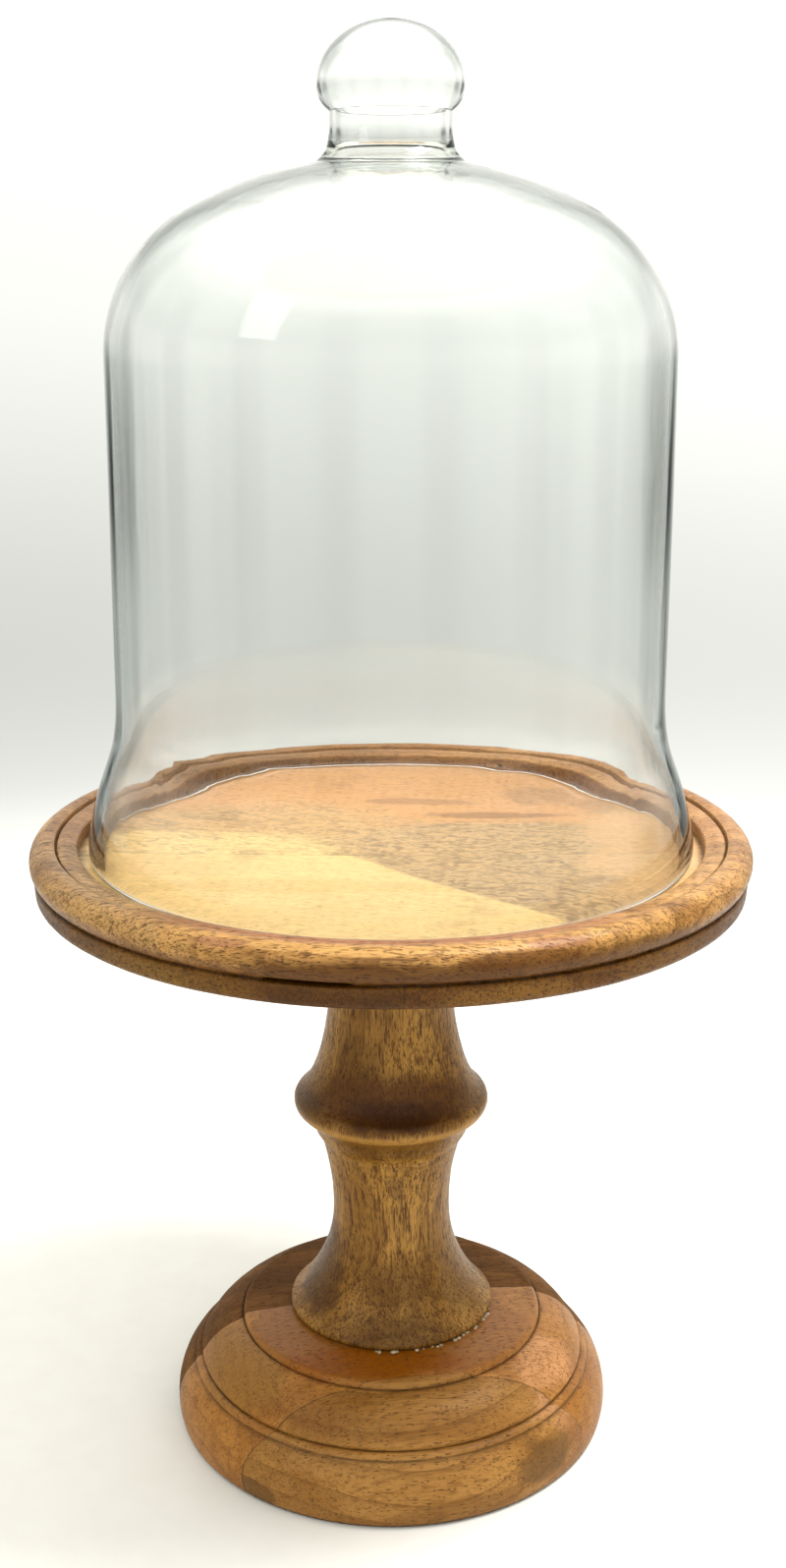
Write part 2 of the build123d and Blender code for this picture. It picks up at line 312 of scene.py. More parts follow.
def curled(g, fibre, amount):
    """Fibre coordinates with the short ripples of curly grain."""
    ripple = g.noise(fibre, 95.0, 1.0, 0.5, "Color")
    ripple = g.vector("SUBTRACT", ripple, (0.5, 0.5, 0.5))
    return g.vector("ADD", fibre, g.vector("MULTIPLY", ripple, (amount, amount, amount)))


def growth_rings(g, fibre, rings):
    """1 on the dark line of each growth ring round the pith, 0 between them."""
    x, y, z = g.split(fibre)[:3]
    squares = []
    for side, pith, taper in zip((y, z), rings.pith, rings.taper):
        away = g.math("SUBTRACT", side, pith)
        away = g.math("SUBTRACT", away, g.math("MULTIPLY", x, taper))
        squares.append(g.math("MULTIPLY", away, away))
    radius = g.math("SQRT", g.math("ADD", *squares))
    turns = g.math("FRACT", g.math("DIVIDE", radius, rings.width))
    return g.math("POWER", turns, 5.0)


def streaks(g, fibre, along, across, detail=4.0):
    """Noise drawn out along the grain."""
    return g.noise(g.vector("MULTIPLY", fibre, (along, across, across)), 1.0, detail, 0.62)


def pores(g, fibre, length, width, share):
    """1 in the open pores, short dark dashes along the grain."""
    cells = g.vector("MULTIPLY", fibre, (1 / length, 1 / width, 1 / width))
    made = g.node("ShaderNodeTexVoronoi", {"Vector": cells, "Scale": 1.0, "Randomness": 1.0})
    near = g.smooth(made.outputs["Distance"], 0.42, 0.16)
    lottery = g.split(made.outputs["Color"])[0]
    crowd = g.noise(fibre, 38.0, 2.0)
    ticket = g.math("ADD", lottery, g.math("MULTIPLY", crowd, 0.7))
    chosen = g.smooth(ticket, 1.28 - share, 1.36 - share)
    return g.math("MULTIPLY", near, chosen)


class Spot(NamedTuple):
    """Patch of another colour in the wood, a few of them painted shade and painted highlight: a ragged
    ellipsoid, in millimetres.

    figure is the depth of its own curly grain; mask names a point attribute that bounds it.
    """

    centre: tuple
    size: tuple
    colour: tuple
    strength: float
    ragged: float
    soft: float = 0.20
    figure: float = 0.0
    mask: str = ""


def blot(g, colour, spot, fibre):
    """Lays a spot over the colour."""
    offset = g.vector("SUBTRACT", g.place(), tuple(c * MM for c in spot.centre))
    scaled = g.vector("DIVIDE", offset, tuple(c * MM for c in spot.size))
    away = g.length(scaled)
    rough = g.math("SUBTRACT", g.noise(g.place(), 70.0, 4.0, 0.6), 0.5)
    edge = g.math("ADD", away, g.math("MULTIPLY", rough, spot.ragged))
    patch = curly(g, spot.colour, spot.figure, fibre) if spot.figure else spot.colour
    share = g.smooth(edge, 1.0 + spot.soft, 1.0 - spot.soft, 0.0, spot.strength)
    if spot.mask:
        share = g.math("MULTIPLY", share, g.attribute(spot.mask))
    return g.mix(share, colour, patch)


def curly(g, colour, depth, fibre):
    """The colour with the short light and dark marks of curly grain."""
    cells = g.vector("MULTIPLY", fibre, (130.0, 330.0, 330.0))
    inputs = {"Vector": cells, "Scale": 1.0, "Detail": 3.0, "Distortion": 1.6}
    marks = g.node("ShaderNodeTexNoise", inputs).outputs["Fac"]
    shade = g.smooth(marks, 0.44, 0.62, 1.08, 1.08 - depth)
    return g.mix(1.0, colour, grey(g, shade), "MULTIPLY")


class Rings(NamedTuple):
    """Growth rings: the pith's place (m), its lean along the grain, ring width (m), darkness."""

    pith: tuple
    taper: tuple
    width: float
    darkness: float


def wood(name, turn, seed, light, middle, dark, rings, pore_share, curl=0.0, spots=(), glue_line=None,
         shine=0.40, contrast=0.5, gloss=0.16, stretch=1.0, edge_wear_and_highlight=0.22):
    """Oiled mango wood: growth rings, fibre streaks, open pores, stains and edge wear, with painted
    shade in the grooves, painted highlight on the column's ridge, and painted shade and highlight in
    some spots.
    """
    g = Graph(bpy.data.materials.new(name))
    fibre = fibre_space(g, turn, seed)
    if curl:
        fibre = curled(g, fibre, curl)
    fine = streaks(g, fibre, 22.0, 640.0)
    hair = streaks(g, fibre, 60.0, 2600.0, 2.0)
    pore = pores(g, fibre, 0.0052, 0.00062, pore_share)
    pore_and_groove_shade_colour = tuple(c * 0.30 for c in dark[:3]) + (1.0,)

    colour = grain(g, fibre, fine, (light, middle, dark), rings, contrast)
    for spot in spots:
        colour = blot(g, colour, spot, fibre)
    colour = dashed(g, colour, fibre, dark, contrast, stretch)
    colour = stained(g, colour, hair, light, dark, edge_wear_and_highlight)
    colour = pored(g, colour, fibre, pore, pore_and_groove_shade_colour)
    if glue_line:
        colour = seam(g, colour, pore_and_groove_shade_colour, *glue_line)

    dull = g.smooth(fine, 0.3, 0.8, shine - 0.05, shine + 0.10)
    rough = g.math("ADD", dull, g.math("MULTIPLY", pore, 0.25))
    height = g.math("SUBTRACT", g.math("MULTIPLY", fine, 0.35), pore)
    height = g.math("ADD", height, g.math("MULTIPLY", hair, 0.25))
    bump = g.node("ShaderNodeBump", {"Height": height, "Strength": 0.45, "Distance": 0.00025})
    finish_surface(g, colour, rough, bump.outputs[0], gloss)
    return g.owner


def grain(g, fibre, fine, colours, rings, contrast):
    """Broad and fine streaks with the dark lines of the growth rings."""
    light, middle, dark = colours
    broad = streaks(g, fibre, 5.0, 60.0, 3.0)
    ring = growth_rings(g, fibre, rings)
    colour = g.mix(g.smooth(broad, 0.36, 0.62), light, middle)
    colour = g.mix(g.smooth(fine, 0.50, 0.74, 0.0, contrast), colour, dark)
    return g.mix(g.math("MULTIPLY", ring, rings.darkness), colour, dark)


def dashed(g, colour, fibre, dark, contrast, stretch):
    """Short dark dashes along the grain, fewer of them in the recess of the plate."""
    flecks = g.smooth(streaks(g, fibre, 120.0 * stretch, 900.0, 3.0), 0.50, 0.64)
    cells = g.vector("MULTIPLY", fibre, (240.0 * stretch, 700.0, 700.0))
    knots = g.smooth(g.noise(cells, 1.0, 4.0, 0.7), 0.56, 0.68)
    dashes = g.math("MAXIMUM", flecks, knots)
    share = g.smooth(g.attribute("recess"), 0.0, 1.0, 0.95 * contrast, 0.18 * contrast)
    return g.mix(g.math("MULTIPLY", dashes, share), colour, dark)


def stained(g, colour, hair, light, dark, edge_wear_and_highlight):
    """Cloudy oil stains, hair-fine light and dark fibres, and lighter edges: wear and, on the column's
    ridge, painted highlight.
    """
    stain = g.noise(g.place(), 24.0, 5.0, 0.6)
    colour = g.mix(g.smooth(stain, 0.55, 0.72, 0.0, 0.30), colour, dark)
    fibres = grey(g, g.smooth(hair, 0.30, 0.70, 0.86, 1.10))
    colour = g.mix(1.0, colour, fibres, "MULTIPLY")
    return g.mix(g.math("MULTIPLY", g.attribute("edge"), edge_wear_and_highlight), colour, light)


def pored(g, colour, fibre, pore, pore_and_groove_shade_colour):
    """Open pores and specks, and painted shade with some dirt in the turned grooves, joints and the
    recess corner.
    """
    specks = pores(g, fibre, 0.0022, 0.0011, 0.16)
    cleaner = g.smooth(g.attribute("recess"), 0.0, 1.0, 1.0, 0.35)
    for holes, depth in ((pore, 0.80), (specks, 0.60)):
        share = g.math("MULTIPLY", g.math("MULTIPLY", holes, depth), cleaner)
        colour = g.mix(share, colour, pore_and_groove_shade_colour)
    patchy = g.smooth(g.noise(g.place(), 130.0), 0.25, 0.55, 0.55, 0.95)
    # Painted shade, with some dirt, in the turned grooves, joints and recess corner.
    return g.mix(g.math("MULTIPLY", g.attribute("groove"), patchy), colour, pore_and_groove_shade_colour)


def grey(g, value):
    """A number as a grey colour."""
    return g.node("ShaderNodeCombineColor", {0: value, 1: value, 2: value}).outputs[0]


def seam(g, colour, line_colour, point, normal):
    """Thin broken dark line where a glue plane meets the surface."""
    offset = g.vector("SUBTRACT", g.place(), point)
    away = g.math("ABSOLUTE", g.vector("DOT_PRODUCT", offset, normal))
    broken = g.smooth(g.noise(g.place(), 90.0, 3.0), 0.40, 0.62, 0.00012, 0.00045)
    share = g.math("SUBTRACT", 1.0, g.math("DIVIDE", away, broken), clamp=True)
    return g.mix(g.math("MULTIPLY", share, 0.75), colour, line_colour)


def finish_surface(g, colour, rough, normal, specular, metallic=0.0):
    """Principled shader for an opaque material, joined to the output."""
    shader = g.node(
        "ShaderNodeBsdfPrincipled",
        {"Base Color": colour, "Roughness": rough, "Normal": normal},
    )
    shader.inputs["Specular IOR Level"].default_value = specular
    shader.inputs["Metallic"].default_value = metallic
    g.node("ShaderNodeOutputMaterial", {"Surface": shader.outputs[0]})


# -------- wood pieces

# Turned lines that pored() darkens: painted shade with some dirt in grooves and joints.
base_grooves = [(85.1, 29.2), (66.8, 45.7), (88.6, 26.7)]
base_edges = [(66.0, 47.9), (85.6, 31.6), (88.2, 27.6)]
plate_grooves = [(138.6, 269.6), (joint_radius, layer_joint), (130.2, 264.8)]
plate_edges = [(131.0, 269.8), (139.8, 271.2), (137.8, 270.4), (148.1, 257.2)]
plate_ring = [(133.0, 270.2), (135.5, 270.3), (138.2, 270.6), (140.6, 271.6)]
column_grooves = [(44.2, 50.2)]
column_edges = [(41.0, 145.6), (41.7, 147.2)]

along_base = (0.0, 0.0, -math.radians(9.5))
along_x = (0.0, 0.0, math.radians(6))
along_y = (0.0, 0.0, math.radians(-88))
along_z = (0.0, math.radians(90), 0.0)


def base_outline():
    """Section of the glued base, round the way for the screw and the spigot."""
    return joined(
        line((counterbore_radius, counterbore_roof), (counterbore_radius, felt_top)),
        line((counterbore_radius, felt_top), (95.4, felt_top), 6),
        arc((95.4, felt_top), (96.4, 8.5), (88.9, 26.3), 22),
        line((88.9, 26.3), (88.5, 26.9)),
        arc((88.5, 26.9), (87.2, 28.5), (85.1, 29.2), 6),
        line((85.1, 29.2), (85.3, 30.8), 2),
        arc((85.3, 30.8), (78.6, 39.4), (67.2, 45.9), 20),
        line((67.2, 45.9), (66.6, 45.6)),
        line((66.6, 45.6), (66.2, 47.3), 2),
        arc((66.2, 47.3), (65.6, 48.2), (64.4, 48.8), 5),
        line((64.4, 48.8), (46.0, base_top), 6),
        line((46.0, base_top), (spigot_radius, base_top), 3),
        line((spigot_radius, base_top), (spigot_radius, spigot_foot)),
        line((spigot_radius, spigot_foot), (lag_screw_way, spigot_foot)),
        line((lag_screw_way, spigot_foot), (lag_screw_way, counterbore_roof)),
        line((lag_screw_way, counterbore_roof), (counterbore_radius, counterbore_roof)),
    )


def base_relief(point):
    """Hand-sanded unevenness outside the seat of the column, none below or inside."""
    radius = math.hypot(point.x, point.y)
    if radius < 47 or point.z < felt_top + 0.5:
        return point
    swell = wobble(point, 30, 0.22, 1.0) + wobble(point, 7, 0.10, 4.0)
    near_groove = math.exp(-(((radius - 85.2) / 1.5) ** 2) - ((point.z - 29.6) / 1.5) ** 2)
    chips = near_groove * wobble(point, 2.2, 0.30, 9.0)
    return pushed(point, swell - max(chips, 0.0), 0.6 * swell)


def base_boards():
    """Three boards glued edge to edge, cut from one turned shape."""
    normal = Vector((math.cos(base_glue_angle), math.sin(base_glue_angle), 0))
    front, back = normal * base_front_offset, Vector((0, 0, 0))
    cuts = {
        "base_front_board": ("base_board_front", [(front, normal)], base_front_wood),
        "base_middle_board": ("base_board_middle", [(front, -normal), (back, normal)], base_middle_wood),
        "base_back_board": ("base_board_back", [(back, -normal)], base_back_wood),
    }
    for name, (node, planes, make_wood) in cuts.items():
        piece = lathe(name, base_outline(), 360, base_relief)
        for point, way in planes:
            keep_side(piece, point, way)
        mark(piece, "groove", base_grooves, 0.55)
        mark(piece, "edge", base_edges, 1.3)
        dress(piece, make_wood(), "stand", node)


def base_front_wood():
    spots = [
        Spot((-22, -72, 36), (26, 7, 9), tint(118, 69, 9), 0.40, 1.1),
        Spot((-58, -78, 4), (12, 14, 6), tint(82, 56, 23), 0.55, 1.4),
        Spot((62, -66, 14), (18, 12, 9), tint(88, 63, 31), 0.65, 1.6),
        Spot((86, -40, 20), (16, 18, 12), tint(138, 88, 49), 0.6, 1.4),
        Spot((72, -50, 30), (16, 14, 8), tint(196, 142, 98), 0.6, 1.8, 0.4),
        Spot((30, -90, 5), (40, 12, 7), tint(122, 81, 34), 0.5, 1.2),
    ]
    return wood(
        "mango_base_front", along_base, 3.1, tint(165, 118, 59), tint(145, 98, 43), tint(103, 64, 20),
        rings=Rings((-0.060, -0.055), (0.10, 0.06), 0.0085, 0.55), pore_share=0.22, spots=spots,
        glue_line=base_seam(base_front_offset), shine=0.42,
    )


def base_middle_wood():
    spots = [
        Spot((-58, -34, 36), (26, 30, 14), tint(144, 101, 41), 0.85, 0.5),
        Spot((0, -34, 50), (70, 40, 5.5), tint(139, 85, 29), 0.85, 0.5),
        Spot((-8, -52, 50), (38, 11, 8), tint(136, 74, 3), 0.95, 0.7),
        Spot((68, -38, 40), (20, 16, 8), tint(207, 150, 100), 0.65, 1.8, 0.4),
        Spot((26, -60, 44), (26, 8, 5), tint(197, 136, 72), 0.5, 1.8, 0.4),
        Spot((44, -24, 50), (20, 20, 6), tint(148, 96, 42), 0.8, 1.2),
        Spot((80, -18, 22), (14, 16, 12), tint(142, 91, 48), 0.5, 1.4),
    ]
    return wood(
        "mango_base_middle", along_base, 7.7, tint(175, 119, 54), tint(153, 101, 42), tint(110, 64, 20),
        rings=Rings((-0.02, -0.09), (0.05, 0.12), 0.0100, 0.35), pore_share=0.40, curl=0.004,
        spots=spots, glue_line=base_seam(base_front_offset), shine=0.40,
    )


def base_back_wood():
    return wood(
        "mango_base_back", along_base, 12.4, tint(118, 79, 41), tint(97, 64, 33), tint(67, 43, 19),
        rings=Rings((0.03, -0.07), (0.04, 0.1), 0.0090, 0.40), pore_share=0.28,
        glue_line=base_seam(0.0), shine=0.62, contrast=0.4, gloss=0.03,
    )


def base_seam(offset):
    """Point and normal of a glue plane of the base."""
    normal = (math.cos(base_glue_angle), math.sin(base_glue_angle), 0.0)
    return tuple(c * offset for c in normal), normal


def column_outline():
    """Section of the column, with the holes for the screws on its axis."""
    return joined(
        line((screw_hole, spigot_foot), (spigot_radius, spigot_foot)),
        line((spigot_radius, spigot_foot), (spigot_radius, base_top)),
        line((spigot_radius, base_top), (43.6, base_top), 4),
        arc((43.6, base_top), (44.9, 51.3), (44.8, 52.8), 5),
        arc((44.8, 52.8), (30.2, 74.5), (25.6, 99.0), 34),
        arc((25.6, 99.0), (26.85, 115.0), (30.2, 130.4), 20),
        curve(((30.2, 130.4), (31.3, 132.4), (33.0, 135.0)), (0.25, 1), (0.6, 1), 6),
        arc((33.0, 135.0), (35.0, 139.7), (38.4, 143.6), 8),
        arc((38.4, 143.6), (42.3, 149.0), (39.8, 153.6), 18),
        curve(((39.8, 153.6), (33.0, 164.8), (28.2, 184.0), (26.4, 205.0)), (-1, 0.95), (0, 1), 9),
        arc((26.4, 205.0), (30.9, 227.1), (44.5, 246.2), 24),
        line((44.5, 246.2), (45.0, plate_underside), 2),
        line((45.0, plate_underside), (screw_hole, plate_underside), 4),
        line((screw_hole, plate_underside), (screw_hole, hanger_bolt_foot), 2),
        line((screw_hole, hanger_bolt_foot), (0.0, hanger_bolt_foot)),
        line((0.0, hanger_bolt_foot), (0.0, lag_screw_tip)),
        line((0.0, lag_screw_tip), (screw_hole, lag_screw_tip)),
        line((screw_hole, lag_screw_tip), (screw_hole, spigot_foot), 2),
    )


def column_relief(point):
    """Slight flats and swells left by hand sanding."""
    radius = math.hypot(point.x, point.y)
    if radius < 16 or not base_top + 0.4 < point.z < plate_underside - 0.4:
        return point
    swell = wobble(point, 22, 0.28, 5.0) + wobble(point, 5, 0.07, 8.0)
    return pushed(point, swell, 0.0)


def column():
    """One turned piece between the base and the plate."""
    piece = lathe("column", column_outline(), 240, column_relief)
    mark(piece, "groove", column_grooves, 0.8)
    mark(piece, "edge", column_edges, 1.3)
    dress(piece, column_wood(), "stand", "stem_column")


def column_wood():
    spots = [
        # Painted shadow under the ridge of the column, at the front.
        Spot((0, -38, 138), (34, 16, 5), tint(90, 57, 19), 0.65, 1.0, 0.5),
        Spot((-2, -36, 161), (48, 30, 11), tint(82, 45, 11), 0.85, 1.0, 0.45),
        Spot((3, -41, 157), (27, 14, 6), tint(53, 25, 4), 0.85, 1.2, 0.4),
        Spot((-20, -34, 176), (16, 16, 14), tint(96, 63, 21), 0.5, 1.6, 0.4),
        Spot((4, -36, 76), (24, 18, 11), tint(82, 49, 13), 0.55, 2.2, 0.5),
        Spot((33, -22, 76), (13, 22, 18), tint(137, 101, 54), 0.75, 0.9),
        Spot((-34, -16, 80), (13, 22, 26), tint(72, 46, 18), 0.75, 1.0),
        Spot((2, -46, 58), (26, 14, 9), tint(76, 46, 12), 0.65, 1.4, 0.4),
        Spot((-38, -18, 151), (10, 18, 9), tint(80, 56, 28), 0.6, 1.0, 0.4),
        Spot((2, -26, 118), (4, 8, 6), tint(106, 75, 40), 0.6, 1.2),
    ]
    return wood(
        "mango_column", along_z, 21.3, tint(173, 127, 60), tint(140, 97, 37), tint(79, 45, 11),
        rings=Rings((0.045, 0.012), (0.03, 0.05), 0.0075, 0.40), pore_share=0.52,
        # The column's edge lines are its ridge: lightening them this much is partly wear, mostly painted
        # highlight.
        spots=spots, shine=0.38, contrast=0.85, stretch=0.5, edge_wear_and_highlight=0.75,
    )


def under_outline():
    """Section of the lower layer of the plate, round the threaded insert."""
    return joined(
        line((insert_radius, layer_joint), (insert_radius, plate_underside)),
        line((insert_radius, plate_underside), (144.3, plate_underside), 10),
        arc((144.3, plate_underside), (146.85, 250.05), (147.9, 252.6), 6),
        line((147.9, 252.6), (148.2, 257.0), 4),
        arc((148.2, 257.0), (148.0, 257.8), (147.3, 258.15), 5),
        line((147.3, 258.15), (joint_radius, layer_joint)),
        line((joint_radius, layer_joint), (138.0, layer_joint), 2),
        line((138.0, layer_joint), (insert_radius, layer_joint), 6),
    )


def top_outline():
    """Section of the upper layer: bead, groove, ring and recess."""
    return joined(
        line((insert_radius, insert_top), (insert_radius, layer_joint)),
        line((insert_radius, layer_joint), (138.0, layer_joint), 6),
        line((138.0, layer_joint), (joint_radius, layer_joint), 2),
        line((joint_radius, layer_joint), (147.5, layer_joint + 0.55)),
        arc((147.5, layer_joint + 0.55), (149.8, 265.0), (139.5, 271.18), 26),
        line((139.5, 271.18), (138.9, 269.4), 2),
        line((138.9, 269.4), (138.1, 270.2), 2),
        arc((138.1, 270.2), (134.6, 270.45), (131.2, 269.6), 8),
        arc((131.2, 269.6), (130.35, 269.25), (recess_radius, 268.4), 4),
        line((recess_radius, 268.4), (recess_radius, recess_floor), 3),
        line((recess_radius, recess_floor), (0.0, recess_floor), 26),
        line((0.0, recess_floor), (0.0, insert_top)),
        line((0.0, insert_top), (insert_radius, insert_top)),
    )


def plate_relief(point):
    """Unevenness of the turned rim, a chipped glue line, and the open gap at the front left."""
    radius = math.hypot(point.x, point.y)
    if radius < 120:
        return point
    swell = wobble(point, 34, 0.16, 3.0) + wobble(point, 6, 0.07, 6.0)
    if radius < 131:
        return pushed(point, min(0.3 * swell, 0.05))
    near_joint = math.exp(-(((point.z - layer_joint) / 0.55) ** 2)) * (radius > 139)
    chips = near_joint * abs(wobble(point, 2.6, 2.2, 11.0))
    drift = near_joint * wobble(point, 11, 0.45, 14.0)
    gap = gap_share(point) * near_joint
    lift = 0.0
    if point.z > layer_joint + 0.2:
        lift = 0.75 * gap
    elif point.z < layer_joint - 0.2:
        lift = -0.45 * gap
    if near_joint > 0.9:
        return pushed(point, -4.5 * gap - 0.6 * chips, drift)
    return pushed(point, swell * (1 - near_joint) - 2.0 * gap - 0.5 * chips, lift + drift)


gap_middle_angle = -101.5
gap_half_angle = 6.3


def gap_share(point):
    """1 within the stretch of the rim where the glue joint stands open."""
    angle = math.degrees(math.atan2(point.y, point.x))
    inside = 1 - abs(angle - gap_middle_angle) / gap_half_angle
    return max(0.0, min(1.0, inside * 7))


def plate_boards():
    """Two crossed layers of two boards each, cut from two turned shapes."""
    across, along = Vector((1, 0, 0)), Vector((0, 1, 0))
    boards = {
        "plate_lower_board_left": ("plate_under_board_left", under_outline, -across, under_left_wood),
        "plate_lower_board_right": ("plate_under_board_right", under_outline, across, under_right_wood),
        "plate_upper_board_front": ("plate_top_board_front", top_outline, -along, top_front_wood),
        "plate_upper_board_back": ("plate_top_board_back", top_outline, along, top_back_wood),
    }
    for name, (node, outline, side, make_wood) in boards.items():
        piece = lathe(name, outline(), 720, plate_relief)
        keep_side(piece, Vector((under_glue_x, top_glue_y, 0)), side)
        mark_recess(piece)
        mark(piece, "ring", plate_ring, 2.2)
        mark(piece, "groove", plate_grooves, 0.55)
        mark(piece, "edge", plate_edges, 1.0)
        dress(piece, make_wood(), "stand", node)


def mark_recess(piece):
    """Point attribute, 1 on the floor the dome stands over."""
    attribute = piece.data.attributes.new("recess", "FLOAT", "POINT")
    for vert, value in zip(piece.data.vertices, attribute.data):
        within = math.hypot(vert.co.x, vert.co.y) < (recess_radius + 0.1) * MM
        low = vert.co.z < (recess_floor + 0.3) * MM
        value.value = 1.0 if within and low else 0.0


# Lower half of the bead, all round: partly stain, partly painted shade on its downward-facing side.
rim_foot_stain_and_shade = tint(104, 64, 22)
curly_floor = tint(206, 164, 112)
top_seam = ((0.0, top_glue_y, 0.0), (0.0, 1.0, 0.0))
under_seam = ((under_glue_x, 0.0, 0.0), (1.0, 0.0, 0.0))


def floor_spot(centre, size, colour, strength, ragged, soft, figure=0.0):
    """Spot on the floor of the recess, kept off the ring and the bead beside it."""
    place = (*centre, recess_floor)
    return Spot(place, (*size, 4.0), colour, strength, ragged, soft, figure, mask="recess")


def top_front_wood():
    spots = [
        # Painted shade with stain on the lower half of the bead, all round.
        Spot((0, 0, 259.5), (175, 175, 5.2), rim_foot_stain_and_shade, 0.80, 0.5, 0.35),
        # Next two spots: painted shade and stain low on the front of the bead.
        Spot((0, -150, 261.5), (120, 12, 6.0), tint(88, 52, 14), 0.85, 0.9, 0.3),
        Spot((84, -122, 261.5), (56, 22, 5.5), tint(90, 54, 16), 0.7, 0.9, 0.3),
        Spot((-110, -100, 268), (40, 50, 5), tint(206, 166, 108), 0.45, 1.4, 0.4),
        # Painted shade and stain on the front side of the bead.
        Spot((40, -141, 266), (60, 8, 3.0), tint(96, 56, 16), 0.7, 1.4),
        # Painted highlight along the top of the bead at the front.
        Spot((0, -140, 271), (150, 20, 1.5), tint(206, 158, 94), 0.7, 0.8),
        Spot((10, -134, 270), (140, 5, 1.6), tint(158, 108, 74), 0.8, 0.8),
        floor_spot((-60, -70), (140, 90), tint(247, 204, 134), 1.0, 0.2, 0.1),
        floor_spot((-40, -60), (64, 8), tint(232, 184, 110), 0.5, 1.2, 0.4),
        floor_spot((-84, -34), (30, 16), tint(236, 190, 124), 0.6, 1.2, 0.4, 0.2),
        floor_spot((296.6, 230.2), (400, 400), curly_floor, 1.0, 0.012, 0.004, 0.46),
        floor_spot((112, -36), (34, 46), tint(230, 180, 122), 0.8, 0.5, 0.3),
        Spot((0, -134, 270), (118, 40, 8), tint(150, 96, 64), 0.9, 0.8, 0.3, mask="ring"),
    ]
    return wood(
        "mango_plate_front", along_x, 5.2, tint(190, 141, 79), tint(158, 110, 54), tint(84, 49, 16),
        rings=Rings((-0.085, 0.235), (0.16, 0.02), 0.0080, 0.55), pore_share=0.62, curl=0.003,
        spots=spots, glue_line=top_seam, shine=0.36, contrast=0.72,
    )


def top_back_wood():
    spots = [
        # Painted shade with stain on the lower half of the bead, all round.
        Spot((0, 0, 259.5), (175, 175, 5.2), rim_foot_stain_and_shade, 0.75, 0.5, 0.35),
        Spot((-148, 6, 265), (6, 17, 8), tint(214, 166, 100), 0.85, 0.5),
        floor_spot((20, 70), (140, 62), tint(222, 160, 98), 1.0, 0.4, 0.2),
        floor_spot((-60, 22), (66, 40), tint(216, 170, 112), 0.9, 0.7, 0.3, 0.40),
        floor_spot((44, 2), (72, 34), curly_floor, 1.0, 0.5, 0.2, 0.46),
        Spot((46, 46, recess_floor), (30, 5, 3.0), tint(158, 108, 64), 0.7, 1.0, mask="recess"),
        Spot((12, 62, recess_floor), (24, 4, 3.0), tint(176, 122, 72), 0.6, 1.0, mask="recess"),
        floor_spot((112, 6), (30, 60), tint(228, 176, 118), 0.8, 0.5, 0.3),
        floor_spot((-80, -8), (58, 26), tint(242, 200, 132), 0.9, 0.6, 0.2, 0.34),
    ]
    return wood(
        "mango_plate_back", along_x, 9.4, tint(182, 132, 78), tint(158, 108, 58), tint(100, 60, 28),
        rings=Rings((0.05, 0.22), (-0.10, 0.03), 0.0095, 0.40), pore_share=0.42, curl=0.004,
        spots=spots, glue_line=top_seam, shine=0.38, contrast=0.55,
    )


def under_left_wood():
    spots = [
        Spot((-90, -116, 253), (30, 24, 5), tint(131, 94, 34), 0.6, 1.6, 0.4),
        Spot((-22, -146, 254), (27, 12, 7), tint(68, 37, 4), 0.6, 1.0),
    ]
    return wood(
        "mango_under_left", along_y, 15.8, tint(113, 73, 20), tint(94, 58, 11), tint(57, 30, 3),
        rings=Rings((0.02, 0.15), (0.05, 0.03), 0.0090, 0.5), pore_share=0.45,
        spots=spots, glue_line=under_seam, shine=0.44, contrast=0.8,
    )


def under_right_wood():
    spots = [
        Spot((40, -140, 253), (26, 14, 4), tint(139, 97, 38), 0.6, 1.6, 0.4),
        Spot((100, -106, 254), (26, 24, 5), tint(118, 79, 30), 0.5, 1.6, 0.4),
    ]
    return wood(
        "mango_under_right", along_y, 18.6, tint(115, 73, 20), tint(96, 57, 11), tint(57, 30, 3),
        rings=Rings((-0.05, 0.18), (0.05, 0.03), 0.0085, 0.5), pore_share=0.40,
        spots=spots, glue_line=under_seam, shine=0.42, contrast=0.8,
    )


# -------- felt and glue


def felt():
    """Underlay with a ragged, slightly swollen cut edge."""
    edge = felt_radius
    flat = edge - felt_round
    outline = joined(
        line((0.0, 0.0), (flat, 0.0), 30),
        arc((flat, 0.0), (edge, 0.75), (flat, felt_top), 6),
        line((flat, felt_top), (0.0, felt_top), 30),
    )

    def relief(point):
        radius = math.hypot(point.x, point.y)
        frayed = max(0.0, (radius - edge + 1.2) / 1.2)
        return pushed(point, frayed * (wobble(point, 1.6, 0.35, 2.0) - 0.1))

    piece = lathe("felt_underlay", outline, 480, relief)
    dress(piece, felt_material(), "stand", "felt_pad")


def felt_material():
    """Pressed wool fibres: tangled fine lines, soft lumps and a slight sheen."""
    g = Graph(bpy.data.materials.new("brown_felt"))
    lumps = g.noise(g.place(), 420.0, 4.0, 0.7)
    fuzz = g.noise(g.place(), 2600.0, 3.0, 0.8)
    colour = g.mix(g.smooth(lumps, 0.35, 0.65), tint(58, 44, 34), tint(84, 66, 52))
    colour = g.mix(g.smooth(fuzz, 0.45, 0.75, 0.0, 0.5), colour, tint(110, 90, 72))
    height = g.math("ADD", lumps, g.math("MULTIPLY", fuzz, 0.6))
    bump = g.node("ShaderNodeBump", {"Height": height, "Strength": 0.8, "Distance": 0.0004})
    rough = g.smooth(fuzz, 0.2, 0.8, 0.85, 1.0)
    finish_surface(g, colour, rough, bump.outputs[0], 0.15)
    return g.owner


